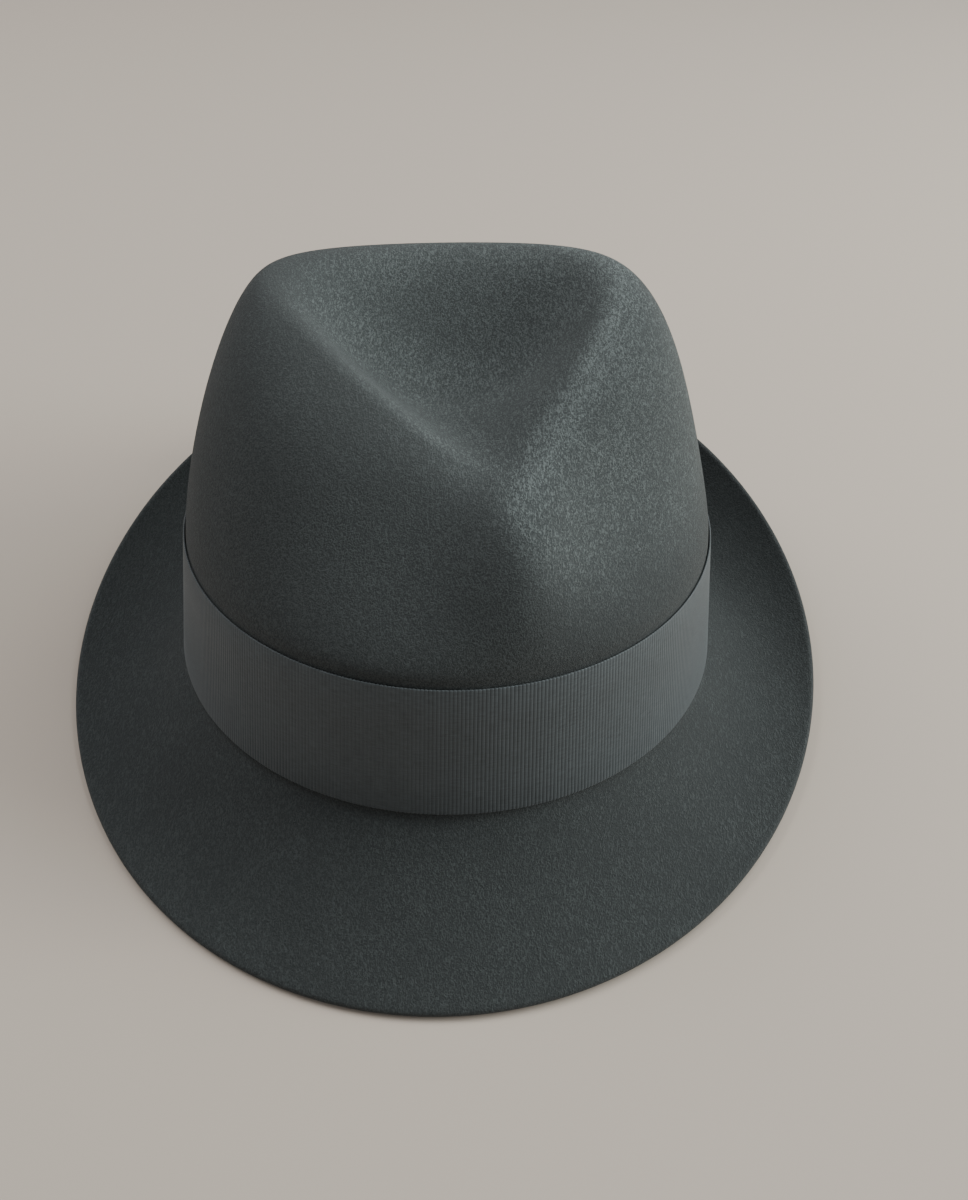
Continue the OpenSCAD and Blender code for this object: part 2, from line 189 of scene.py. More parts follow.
class TrilbyView(bpy.types.PropertyGroup):
    """Camera, placed as the photograph was taken, and the light."""

    target: bpy.props.FloatVectorProperty(
        name="Target", description="Point that the camera looks at", default=(0.0121, 0.0075, 0.0195),
        size=3, subtype="TRANSLATION", unit="LENGTH")
    distance: length(399.4, "Distance", "From the target to the camera")
    azimuth: angle(-1.4, "Azimuth", "Turn of the camera about the vertical, from the hat's front")
    elevation: angle(41.9, "Elevation", "Height of the camera over the ground, as an angle")
    roll: angle(2.2, "Roll", "Roll of the camera")
    focal_pixels: number(1150, "Focal length", "In pixels of a picture 968 wide and 1200 tall")
    key_power: power(27, "Key", "Window light from the right")
    right_power: power(13, "Right light", "Soft light from above, behind and right")
    left_power: power(12, "Left light", "Soft light from above, behind and left")
    room_light: share(0.5, "Room", "Strength of the light from all round")
    daylight: colour("#f7fffe", "Daylight", "Cool tint of the light from the right")
    room: colour("#f2f5f7", "Room colour", "Tint of the light from all round")


def around(t, front, side, back):
    """A value that goes smoothly from the front's to the side's to the back's: a parabola in cos t."""
    c = np.cos(t)
    return side + (front - back) / 2 * c + ((front + back) / 2 - side) * c * c


def vectors(x, y, z):
    """Coordinates joined into points along the last axis."""
    return np.stack(np.broadcast_arrays(x, y, z), -1)


def unit(v):
    """Vectors scaled to length 1."""
    return v / np.linalg.norm(v, axis=-1, keepdims=True)


def cubic(a, b, c, d, q):
    """Cubic Bezier curve through a and d, drawn towards b and c, at the share q of its way."""
    q = q[..., None]
    r = 1 - q
    return r ** 3 * a + 3 * r * r * q * b + 3 * r * q * q * c + q ** 3 * d


def distances(points):
    """Distance of each point of a line from its start, along the line."""
    return np.concatenate([[0], np.cumsum(np.linalg.norm(np.diff(points, axis=0), axis=1))])


def rows(*counts):
    """Values of w for stretches that follow each other, count steps in each, without the last end."""
    return np.concatenate([i + np.arange(n) / n for i, n in counts])


class HatForm:
    """Outer face of the felt and the places on and under it, worked out from the sizes in the panel.

    An angle t runs round the hat from the front to the wearer's left. Along the felt, w runs from the brim's
    edge inwards: 0 to 1 is the brim, 1 to 2 the break, 2 to 3 the straight wall, 3 to 4 the shoulder and
    4 to 5 the crease.
    """

    def __init__(self, sizes):
        s = self.s = sizes
        self.lining_depth = s.felt_t + s.fit_gap
        self.sweat_depth = self.lining_depth + s.lining_t + s.fit_gap
        self.head_depth = self.sweat_depth + s.sweat_t
        self.foot_x = s.head_width / 2 + self.head_depth
        self.foot_y = s.head_length / 2 + self.head_depth
        self.ribbon_low = s.break_r + s.fit_gap
        self.ribbon_top = self.ribbon_low + s.ribbon_w
        self.straight_h = self.ribbon_top + s.wall_margin
        self.sweat_low = s.reed_lift + s.reed_d / 2 + s.fit_gap
        self.sweat_top = self.sweat_low + s.sweat_h
        self.crease_low = np.array([0, s.crease_back, s.crown_front_h - s.crease_depth])
        self.seam_w = 3 + s.lining_seam
        self.tilt, self.stand = 0.0, np.zeros(3)
        self.tilt, self.stand = self.stance()

    def foot(self, t):
        """Ellipse where the crown meets the brim."""
        return vectors(self.foot_x * np.sin(t), -self.foot_y * np.cos(t), 0.0)

    def outward(self, t):
        """Level direction out of the ellipse."""
        return unit(vectors(np.sin(t) / self.foot_x, -np.cos(t) / self.foot_y, 0.0))

    def brim_w(self, t):
        """Width of the brim."""
        return around(t - self.s.brim_turn, self.s.brim_front_w, self.s.brim_side_w, self.s.brim_back_w)

    def brim(self, t, d):
        """Brim at the share d of its width: straight, then an arc, given by the arc's chord, which leaves at
        half the arc's turn and is shorter than the arc by sin(half) / half."""
        s = self.s
        slope = around(t - s.brim_turn, s.slope_front, s.slope_side, s.slope_back)
        curl = around(t - s.brim_turn, s.curl_front, s.curl_side, s.curl_back)
        straight = np.minimum(d, s.curl_start) * self.brim_w(t)
        curved = np.maximum(0, d - s.curl_start)
        half = (curl - slope) * curved / (1 - s.curl_start) / 2
        chord = curved * self.brim_w(t) * np.sinc(half / math.pi)
        out = straight * np.cos(slope) + chord * np.cos(slope + half)
        up = straight * np.sin(slope) + chord * np.sin(slope + half)
        return self.foot(t) + self.outward(t) * out[..., None] + vectors(0.0, 0.0, up)

    def wall_radii(self, z):
        """Radii of the leaning wall, which shrink evenly with the height z."""
        return self.foot_x - z * math.tan(self.s.side_lean), self.foot_y - z * math.tan(self.s.end_lean)

    def wall(self, t, z):
        """Leaning wall: an ellipse at each height z."""
        x, y = self.wall_radii(z)
        return vectors(x * np.sin(t), -y * np.cos(t), z)

    def wall_up(self, t):
        """Direction up the wall."""
        return vectors(-math.tan(self.s.side_lean) * np.sin(t), math.tan(self.s.end_lean) * np.cos(t), 1.0)

    def off_wall(self, t, z, out):
        """Point at the height z on the wall, moved out along the wall's normal."""
        x, y = self.wall_radii(z)
        normal = unit(np.cross(vectors(x * np.cos(t), y * np.sin(t), 0.0), self.wall_up(t)))
        return self.wall(t, z) + normal * np.asarray(out)[..., None]

    def ridge(self, t):
        """Ridge of the crown: a teardrop sin t * sin(t / 2) ** sharpness, rounded at its tip, then turned and
        shifted as the crease is."""
        s = self.s
        peak_at = math.atan(math.sqrt(s.tip_sharp + 1))
        peak = math.sin(2 * peak_at) * math.sin(peak_at) ** s.tip_sharp
        front, back = -self.foot_y + s.ridge_in_front, self.foot_y - s.ridge_in_back
        taper = np.sqrt(np.sin(t / 2) ** 2 + s.tip_round ** 2) ** s.tip_sharp
        x = (self.foot_x - s.ridge_in_side) * np.sin(t) * taper / peak
        y = (back + front) / 2 - (back - front) / 2 * np.cos(t)
        c, k = math.cos(s.crease_turn), math.sin(s.crease_turn)
        h = around(t, s.crown_front_h, s.crown_side_h, s.crown_back_h)
        return vectors(x * c - y * k + s.crease_shift, x * k + y * c, h)

    def shoulder(self, t, q):
        """Bezier from the top of the straight wall over to the level of the ridge, drawn in at two pinches.
        Each pinch also dents it by 16 (q (1 - q)) ** 2, which is 1 half way up."""
        s = self.s
        low, top = self.wall(t, np.full(np.shape(t), self.straight_h)), self.ridge(t)
        up = low + self.wall_up(t) * (s.wall_rise * (top[..., 2:] - self.straight_h))
        level = np.concatenate([up[..., :2], top[..., 2:]], -1)
        from_keel = np.hypot((t - s.keel_at + math.pi) % TURN - math.pi, s.keel_soft) - s.keel_soft
        pinch = from_keel / s.pinch_at * np.exp(0.5 - (from_keel / s.pinch_at) ** 2 / 2)
        over = top + (level - top) * (s.shoulder - s.pinch_depth * pinch)[..., None]
        dent = s.dent_depth * pinch * 16 * (q * (1 - q)) ** 2
        return cubic(low, up, over, top, q) - self.outward(t) * dent[..., None]

    def crease(self, t, q):
        """Bezier from the ridge down to the crease's lowest point, level at both ends."""
        top = self.ridge(t)
        inward = (self.crease_low - top) * (1, 1, 0)
        return cubic(top, top + inward * self.s.ridge_soft, self.crease_low - inward * self.s.floor_soft,
                     np.broadcast_to(self.crease_low, top.shape), q)

    def fold(self, t, q):
        """Break: a parabola from the brim to the wall, drawn towards the foot."""
        q, r = q[..., None], 1 - q[..., None]
        low = self.brim(t, self.s.break_r / self.brim_w(t))
        high = self.wall(t, np.full(np.shape(t), self.s.break_r))
        return r * r * low + 2 * r * q * self.foot(t) + q * q * high

    def outer(self, t, w):
        """Outer face of the felt at the angle t and the place w along it."""
        t, w = np.broadcast_arrays(np.asarray(t, float), np.asarray(w, float))
        edge, inner = 1 - self.s.felt_t / 2 / self.brim_w(t), self.s.break_r / self.brim_w(t)
        stretches = [
            self.brim(t, edge + (inner - edge) * w),
            self.fold(t, w - 1),
            self.wall(t, self.s.break_r + (self.straight_h - self.s.break_r) * (w - 2)),
            self.shoulder(t, w - 3),
            self.crease(t, w - 4),
        ]
        return np.choose(np.clip(np.floor(w), 0, 4).astype(int)[..., None], stretches)

    def downhill(self, t, w):
        """Direction along the outer face, away from the top of the crown."""
        return unit(self.outer(t, w - SLOPE_STEP) - self.outer(t, w + SLOPE_STEP))

    def normal(self, t, w):
        """Direction out of the felt, from differences along both parameters."""
        along = self.outer(t + SLOPE_STEP, w) - self.outer(t - SLOPE_STEP, w)
        return unit(np.cross(self.downhill(t, w), along))

    def face(self, t, w, depth):
        """A face at a depth under the outer one."""
        return self.outer(t, w) - self.normal(t, w) * np.asarray(depth)[..., None]

    def felt_rings(self, steps, top, under, edge_steps):
        """Closed rings from the middle of the felt's lower face, round the brim's edge and over its top."""
        t = np.arange(steps) / steps * TURN
        half = self.s.felt_t / 2
        a = (np.arange(1, edge_steps) / edge_steps * math.pi)[:, None, None]
        edge = self.outer(t, 0.0) - self.normal(t, 0.0) * half * (1 + np.cos(a))
        edge = edge + self.downhill(t, 0.0) * half * np.sin(a)
        return np.concatenate([
            self.face(t[None], under[::-1, None], 2 * half),
            edge,
            self.outer(t[None], top[:, None]),
        ])

    def stance(self):
        """Tilt back about X until the hat's back or sides meet the ground with the front edge, and the shift
        that sets the middle of its box over the origin."""
        w = rows((0, 8), (1, 2), (2, 3), (3, 8), (4, 7))
        p = self.felt_rings(64, w, w, edge_steps=4).reshape(-1, 3)
        low = p[np.argmin(p[:, 2])]
        behind = p[p[:, 1] > 0]
        tilt = float(np.min(np.arctan2(behind[:, 2] - low[2], behind[:, 1] - low[1])))
        self.tilt = tilt
        p = self.stood(p)
        middle = (p.min(0) + p.max(0)) / 2
        return tilt, -np.array([middle[0], middle[1], p[:, 2].min()])

    def stood(self, p):
        """Points of the level hat, tipped back and lifted to where the hat stands."""
        c, k = math.cos(self.tilt), math.sin(self.tilt)
        y, z = p[..., 1], p[..., 2]
        return vectors(p[..., 0], y * c + z * k, z * c - y * k) + self.stand

    def round_wall(self, z, out, start, end, count):
        """Angles at equal distances along the wall at a height and an offset, with the length of the way."""
        t = np.linspace(start, end, FINE)
        p = self.off_wall(t, np.full(t.shape, z), np.full(t.shape, out))
        s = distances(p)
        return np.interp(np.linspace(0, s[-1], count), s, t), float(s[-1])


def stadium(low, high, thick, face_rows, edge_rows):
    """Section of a flat strip with round edges: distances across it, and offsets from its middle plane."""
    r = thick / 2
    flat = np.linspace(low + r, high - r, face_rows)
    a = (np.arange(1, edge_rows) / edge_rows) * math.pi
    across = np.concatenate([flat, high - r + r * np.sin(a), flat[::-1], low + r - r * np.sin(a)])
    offset = np.concatenate([np.full(face_rows, r), r * np.cos(a), np.full(face_rows, -r), -r * np.cos(a)])
    return across, offset


def ribs(distance, pitch):
    """Height of a row of round ribs, 0 in the grooves and 1 on the crests: half circles side by side."""
    x = 2 * (distance / pitch % 1) - 1
    return np.sqrt(np.maximum(0, 1 - x * x))


def even_path(points, count, closed):
    """Points at equal distances along a fine line of points, with the line's length."""
    p = np.concatenate([points, points[:1]]) if closed else points
    s = distances(p)
    at = np.linspace(0, s[-1], count, endpoint=not closed)
    return np.stack([np.interp(at, s, p[:, k]) for k in range(p.shape[1])], 1), float(s[-1])


def path_normals(path, closed):
    """Directions to the right of a flat path, from central differences."""
    d = np.roll(path, -1, 0) - np.roll(path, 1, 0) if closed else np.gradient(path, axis=0)
    d = unit(d)
    return np.stack([d[:, 1], -d[:, 0]], 1)


def flat_bow(long, waist, puff, thick):
    """Outline of a closed band pressed flat into two loops: it lies flat below, and its upper side swells in
    two bellies that fall with the square of the cosine to a pinched waist."""
    a = np.arange(OUTLINE) / OUTLINE * TURN
    fold, swell = 0.3, 1.3
    rise = np.sqrt(np.sin(a) ** 2 + fold ** 2) + np.sin(a)
    belly = (puff - thick - 2 * waist) * swell * np.cos(a) ** 2
    return np.stack([(long / 2 - thick) * np.cos(a), thick / 2 + (waist + belly) * rise], 1)


def quads_between(n, m, looped=False):
    """Corners of the quads between neighbouring sections, n sections of m points each."""
    i, j = np.arange(n if looped else n - 1)[:, None], np.arange(m)[None]
    ahead, beside = (i + 1) % n, (j + 1) % m
    corners = i * m + j, i * m + beside, ahead * m + beside, ahead * m + j
    return np.stack(np.broadcast_arrays(*corners), -1).reshape(-1, 4)


def new_piece(name, points, faces):
    """Smooth mesh object in the scene."""
    mesh = bpy.data.meshes.new(name)
    mesh.from_pydata(points.tolist(), [], faces)
    mesh.polygons.foreach_set("use_smooth", np.ones(len(faces), bool))
    piece = bpy.data.objects.new(name, mesh)
    bpy.context.scene.collection.objects.link(piece)
    return piece


def mesh_piece(name, sections, looped=False, uv=None):
    """Mesh through closed sections, where sections[i, j] is point j of section i. Neighbours are joined by
    quads, and an open run gets a fan on each end. Faces are turned outwards by the sign of the volume."""
    n, m = sections.shape[:2]
    points = sections.reshape(-1, 3)
    quads = quads_between(n, m, looped)
    faces = quads.tolist()
    a, b, c, d = (points[quads[:, k]] for k in range(4))
    volume = np.sum(a * np.cross(b, c)) + np.sum(a * np.cross(c, d))
    if not looped:
        middles = np.stack([sections[0].mean(0), sections[-1].mean(0)])
        points = np.concatenate([points, middles])
        ring, after = np.arange(m), (np.arange(m) + 1) % m
        first = np.stack([np.full(m, n * m), after, ring], 1)
        last = np.stack([np.full(m, n * m + 1), (n - 1) * m + ring, (n - 1) * m + after], 1)
        faces += first.tolist() + last.tolist()
        for fan in (first, last):
            volume += np.sum(points[fan[:, 0]] * np.cross(points[fan[:, 1]], points[fan[:, 2]]))
    if volume < 0:
        faces = [face[::-1] for face in faces]
    piece = new_piece(name, points, faces)
    if uv is not None:
        add_uv(piece.data, uv, n, m, looped, volume < 0)
    return piece


def add_uv(mesh, uv, n, m, looped, turned):
    """UV map: the places of the sections, and of the points round each section, with whole steps at the
    seams. A fan takes the place of the section that it closes."""
    along, across = uv
    i, j = np.arange(n if looped else n - 1)[:, None], np.arange(m)[None]
    corners = [(i, j), (i, j + 1), (i + 1, j + 1), (i + 1, j)]
    corners = corners[::-1] if turned else corners
    u = np.stack([np.broadcast_to(along[a], (len(i), m)) for a, b in corners], -1)
    v = np.stack([np.broadcast_to(across[b], (len(i), m)) for a, b in corners], -1)
    flat = np.zeros((len(mesh.loops), 2), np.float32)
    flat[:u.size, 0], flat[:u.size, 1] = u.ravel(), v.ravel()
    flat[u.size:, 0] = np.repeat([along[0], along[-1]], (len(flat) - u.size) // 2)
    mesh.uv_layers.new(name="Cloth").data.foreach_set("uv", flat.ravel())


def ribbed_piece(name, form, path, closed, section, place, facing=1):
    """Ribbed ribbon along a flat path, with its length. The section, from low to high and this thick, is
    carried along the path, its thickness cut between the ribs and its edges scalloped by them. place maps
    path x, path y and the distance across to the hat."""
    s = form.s
    fewest, scallop_deep = 4, 0.12 * MM
    across, offset = stadium(*section, face_rows=5, edge_rows=4)
    fine, total = even_path(path, FINE, closed)
    count = RIB_POINTS * max(fewest, round(total / s.rib_pitch))
    line, total = even_path(fine, count, closed)
    hump = ribs(np.arange(count) / count * total, total / (count // RIB_POINTS))[:, None]
    thin = 1 - s.rib_cut * (1 - hump)
    scallop = scallop_deep * (hump - 1)
    on_edge = ~np.isclose(np.abs(offset), np.max(offset))
    wide = across + np.sign(across - (across.min() + across.max()) / 2) * on_edge * scallop
    p = line[:, None] + path_normals(line, closed)[:, None] * (facing * offset * thin)[..., None]
    uv = (np.linspace(0, total, count + 1), np.append(across, across[0]))
    return mesh_piece(name, form.stood(place(p[..., 0], p[..., 1], wide)), looped=closed, uv=uv), total


def dress(piece, material, slot, *nodes):
    """Gives a piece its material and its place on the hat."""
    piece.data.materials.append(material)
    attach(piece, "root")
    if nodes:
        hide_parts(*nodes)
    return piece


def feed(node, inputs):
    """Sets a node's inputs: to a value, or linked from a socket or from another node's first output."""
    for key, value in inputs.items():
        source = value.outputs[0] if isinstance(value, bpy.types.Node) else value
        if isinstance(source, bpy.types.NodeSocket):
            node.id_data.links.new(source, node.inputs[key])
        else:
            node.inputs[key].default_value = source


def add(tree, kind, inputs=None, **settings):
    """Adds a node with its settings and inputs."""
    made = tree.nodes.new(kind)
    for key, value in settings.items():
        setattr(made, key, value)
    feed(made, inputs or {})
    return made


def new_material(name):
    """An empty material with its shader: the node tree and the shader node."""
    material = bpy.data.materials.new(name)
    material.use_nodes = True
    return material, material.node_tree, material.node_tree.nodes["Principled BSDF"]


def finish(shader, tint, bright, height, strength, deep_mm, settings):
    """Gives a shader its colour times a brightness, a bump of a depth in millimetres, and other settings."""
    tree = shader.id_data
    shown = add(tree, "ShaderNodeVectorMath", {0: tint, "Scale": bright}, operation="SCALE")
    bump = add(tree, "ShaderNodeBump", {"Height": height, "Strength": strength, "Distance": deep_mm * MM})
    feed(shader, {"Base Color": shown, "Normal": bump, **settings})


def rgba(value):
    """A colour property as a socket value."""
    return (*value, 1.0)


def wear_and_painted_light(tree):
    """How much paler the felt is drawn, 1 where it is plain. It is paler on the ridge and in the crease,
    further down on the wearer's left, the side the window light comes from, and most of all along the crest
    there. This is partly wear from hands and sun and partly painted light from above and from the window,
    with a painted highlight along the crest. In the UV map X is the place w along the felt and Y the share of
    the turn."""
    at = add(tree, "ShaderNodeSeparateXYZ", {0: add(tree, "ShaderNodeUVMap", uv_map="Cloth")}).outputs
    turn = add(tree, "ShaderNodeMath", {0: at["Y"], 1: TURN}, operation="MULTIPLY")
    left = add(tree, "ShaderNodeMath", {0: turn}, operation="SINE")
    left_side = add(tree, "ShaderNodeMapRange", {"Value": left, "From Min": 0.08, "From Max": 0.47},
                    interpolation_type="SMOOTHSTEP")
    reach = add(tree, "ShaderNodeMath", {0: left, 1: 0.24, 2: at["X"]}, operation="MULTIPLY_ADD")
    reach = add(tree, "ShaderNodeMath", {0: left_side, 1: 0.48, 2: reach}, operation="MULTIPLY_ADD")
    # Paler up the crown and in the crease: partly wear, partly painted light from above and from the window
    # side.
    worn_and_lit_top = add(tree, "ShaderNodeMapRange", {
        "Value": reach, "From Min": 3.72, "From Max": 4.08, "To Min": 1.0, "To Max": 1.42},
        interpolation_type="SMOOTHSTEP")
    # Painted highlight along the crest on the wearer's left, partly also wear: paler within 0.2 of w from the
    # crest line.
    crest = add(tree, "ShaderNodeMath", {0: left, 1: -0.33, 2: at["X"]}, operation="MULTIPLY_ADD")
    off = add(tree, "ShaderNodeMath", {0: crest, 1: 3.72}, operation="SUBTRACT")
    off = add(tree, "ShaderNodeMath", {0: off}, operation="ABSOLUTE")
    crest_wear_and_highlight = add(tree, "ShaderNodeMapRange", {"Value": off, "From Max": 0.2, "To Min": 0.45, "To Max": 0.0},
                 interpolation_type="SMOOTHSTEP")
    return add(tree, "ShaderNodeMath", {0: crest_wear_and_highlight, 1: left_side, 2: worn_and_lit_top}, operation="MULTIPLY_ADD")


def wool_felt(colours):
    """Black wool felt, blocked and brushed: dull and dark, with a short nap of lighter fibres that lie every
    way. The felt and its nap are drawn paler on the ridge, the crease and the crest, partly for wear and
    partly as painted light. Real fibres are about 0.03 mm thick, which doesn't show, so they are drawn about
    0.5 mm wide."""
    material, tree, shader = new_material("wool_felt")
    # Paler felt where it is worn and where light from above and from the window side is painted on.
    paler_worn_and_lit = wear_and_painted_light(tree)
    place = add(tree, "ShaderNodeTexCoord").outputs["Object"]
    clumps = add(tree, "ShaderNodeTexNoise", {
        "Vector": place, "Scale": 1 / (0.7 * MM), "Detail": 1.5, "Roughness": 0.6})
    mottle = add(tree, "ShaderNodeTexNoise", {"Vector": place, "Scale": 1 / (22 * MM), "Detail": 2.0})
    nap = 0.0
    for lie in ((0.4, 0.2, 0.3), (1.3, 0.5, 1.2), (0.2, 1.2, 2.2)):
        turned = add(tree, "ShaderNodeMapping", {"Vector": place, "Rotation": lie, "Scale": (1.0, 0.3, 1.0)})
        fibre = add(tree, "ShaderNodeTexNoise", {
            "Vector": turned, "Scale": 1 / (0.5 * MM), "Detail": 0.0, "Distortion": 1.2})
        strand = add(tree, "ShaderNodeMapRange", {"Value": fibre, "From Min": 0.58, "From Max": 0.74})
        nap = add(tree, "ShaderNodeMath", {0: nap, 1: strand}, operation="MAXIMUM")
    height = add(tree, "ShaderNodeMath", {0: nap, 1: 0.6, 2: clumps}, operation="MULTIPLY_ADD")
    ground = add(tree, "ShaderNodeMapRange", {
        "Value": clumps, "From Min": 0.4, "From Max": 0.75, "To Max": 0.35})
    light = add(tree, "ShaderNodeMath", {0: nap, 1: ground}, operation="MAXIMUM")
    shade = add(tree, "ShaderNodeMapRange", {
        "Value": mottle, "From Min": 0.3, "From Max": 0.7, "To Min": 0.32, "To Max": 0.5})
    amount = add(tree, "ShaderNodeMath", {0: light, 1: shade}, operation="MULTIPLY")
    # The nap shows more where wear and painted light make the felt paler.
    raised = add(tree, "ShaderNodeMath", {0: paler_worn_and_lit, 1: 2.2}, operation="POWER")
    amount = add(tree, "ShaderNodeMath", {0: amount, 1: raised}, operation="MULTIPLY")
    dyed = add(tree, "ShaderNodeMix", {
        "Factor": amount, 6: rgba(colours.felt_dark), 7: rgba(colours.felt_light)}, data_type="RGBA")
    # The colour is scaled by the paler mask: partly wear, partly painted light and a painted highlight on the
    # crest.
    finish(shader, dyed.outputs[2], paler_worn_and_lit, height, strength=1.0, deep_mm=0.28, settings={
        "Roughness": 0.85, "Specular IOR Level": 0.35, "Sheen Weight": 0.06, "Sheen Roughness": 0.5})
    return material


def grosgrain(colours):
    """Black rayon grosgrain: thick weft ribs under fine warp threads, with a soft lustre along the crests.
    The warp threads, about 0.2 mm apart, are drawn 0.4 mm apart so that they show."""
    material, tree, shader = new_material("rayon_grosgrain")
    uv = add(tree, "ShaderNodeUVMap", uv_map="Cloth")
    stretched = add(tree, "ShaderNodeMapping", {"Vector": uv, "Scale": (0.12, 1.0, 1.0)})
    warp = add(tree, "ShaderNodeTexNoise", {
        "Vector": stretched, "Scale": 1 / (0.4 * MM), "Detail": 2.0}, noise_dimensions="2D")
    uneven = add(tree, "ShaderNodeTexNoise", {
        "Vector": uv, "Scale": 1 / (9 * MM), "Detail": 2.0}, noise_dimensions="2D")
    level = add(tree, "ShaderNodeMath", {0: uneven, 1: 0.25, 2: warp}, operation="MULTIPLY_ADD")
    bright = add(tree, "ShaderNodeMapRange", {
        "Value": level, "From Min": 0.3, "From Max": 0.95, "To Min": 0.75, "To Max": 1.25})
    finish(shader, tuple(colours.ribbon), bright, warp, strength=0.35, deep_mm=0.08, settings={
        "Roughness": 0.58, "Specular IOR Level": 0.4, "Sheen Weight": 0.15, "Sheen Roughness": 0.4})
    return material


def sweatband_leather(colours):
    """Thin dyed sheepskin, finished smooth: fine pebbled grain, darker in its creases and in clouds."""
    material, tree, shader = new_material("dyed_sheepskin")
    place = add(tree, "ShaderNodeTexCoord").outputs["Object"]
    grain = add(tree, "ShaderNodeTexVoronoi", {"Vector": place, "Scale": 1 / (0.9 * MM)},
                feature="DISTANCE_TO_EDGE")
    cloud = add(tree, "ShaderNodeTexNoise", {"Vector": place, "Scale": 1 / (14 * MM), "Detail": 4.0})
    crease = add(tree, "ShaderNodeMapRange", {"Value": grain, "From Max": 0.14})
    bright = add(tree, "ShaderNodeMapRange", {
        "Value": cloud, "From Min": 0.3, "From Max": 0.7, "To Min": 0.65, "To Max": 1.25})
    both = add(tree, "ShaderNodeMath", {0: crease, 1: 0.35, 2: 0.65}, operation="MULTIPLY_ADD")
    amount = add(tree, "ShaderNodeMath", {0: both, 1: bright}, operation="MULTIPLY")
    rough = add(tree, "ShaderNodeMapRange", {"Value": cloud, "To Min": 0.4, "To Max": 0.6})
    finish(shader, tuple(colours.leather), amount, crease, strength=0.5, deep_mm=0.1, settings={
        "Roughness": rough})
    return material


def lining_satin(colours):
    """Black acetate lining satin: smooth floats that lie up the crown, so the gloss is drawn out across them.
    The threads are drawn 0.3 mm apart so that they show."""
    material, tree, shader = new_material("acetate_satin")
    uv = add(tree, "ShaderNodeUVMap", uv_map="Cloth")
    stretched = add(tree, "ShaderNodeMapping", {"Vector": uv, "Scale": (1.0, 0.08, 1.0)})
    floats = add(tree, "ShaderNodeTexNoise", {
        "Vector": stretched, "Scale": 1 / (0.3 * MM), "Detail": 2.0}, noise_dimensions="2D")
    bright = add(tree, "ShaderNodeMapRange", {"Value": floats, "To Min": 0.6, "To Max": 1.4})
    finish(shader, tuple(colours.satin), bright, floats, strength=0.25, deep_mm=0.05, settings={
        "Roughness": 0.32, "Anisotropic": 0.5})
    return material


def cotton(name, tint, pitch_mm):
    """Twisted cotton thread or narrow tape: matt, with an uneven surface of fine strands."""
    material, tree, shader = new_material(name)
    place = add(tree, "ShaderNodeTexCoord").outputs["Object"]
    strands = add(tree, "ShaderNodeTexNoise", {"Vector": place, "Scale": 1 / (pitch_mm * MM), "Detail": 3.0})
    bright = add(tree, "ShaderNodeMapRange", {"Value": strands, "To Min": 0.5, "To Max": 1.5})
    finish(shader, tuple(tint), bright, strands, strength=0.5, deep_mm=0.1, settings={"Roughness": 0.8})
    return material


class TRILBY_OT_felt(bpy.types.Operator):
    """Crown and brim: one closed skin of felt, turned in at the raw edge of the brim"""

    bl_idname = "trilby.felt"
    bl_label = "Felt crown and brim"

    def execute(self, context):
        form = HatForm(context.scene.trilby_sizes)
        steps, edge_steps = 420, 8
        top = rows((0, 46), (1, 8), (2, 8), (3, 44), (4, 40))
        under = rows((0, 24), (1, 6), (2, 4), (3, 20), (4, 18))
        place = np.concatenate([-under[::-1], np.zeros(edge_steps - 1), top])
        rings = form.stood(form.felt_rings(steps, top, under, edge_steps))
        piece = mesh_piece("felt_crown_and_brim", rings, uv=(place, np.linspace(0, 1, steps + 1)))
        dress(piece, wool_felt(context.scene.trilby_colours), "felt", "felt_body")
        return {"FINISHED"}


class TRILBY_OT_ribbon(bpy.types.Operator):
    """Ribbon round the crown: a ribbed strip on the wall whose ends meet under the bow"""

    bl_idname = "trilby.ribbon"
    bl_label = "Ribbon"

    def execute(self, context):
        s = context.scene.trilby_sizes
        form = HatForm(s)
        middle = s.fit_gap + s.ribbon_t / 2
        gap = s.fit_gap / form.foot_x
        t, total = form.round_wall(form.ribbon_low + s.ribbon_w / 2, middle, s.bow_at + gap / 2,
                                   s.bow_at + TURN - gap / 2, FINE)
        at = np.linspace(0, total, FINE)
        path = np.stack([at, np.full(at.shape, middle)], 1)

        def place(x, y, z):
            return form.off_wall(np.interp(x, at, t), z, y)

        section = form.ribbon_low, form.ribbon_top, s.ribbon_t
        piece, _ = ribbed_piece("ribbon_round_crown", form, path, False, section, place, facing=-1)
        dress(piece, grosgrain(context.scene.trilby_colours), "grosgrain", "ribbon_band")
        return {"FINISHED"}


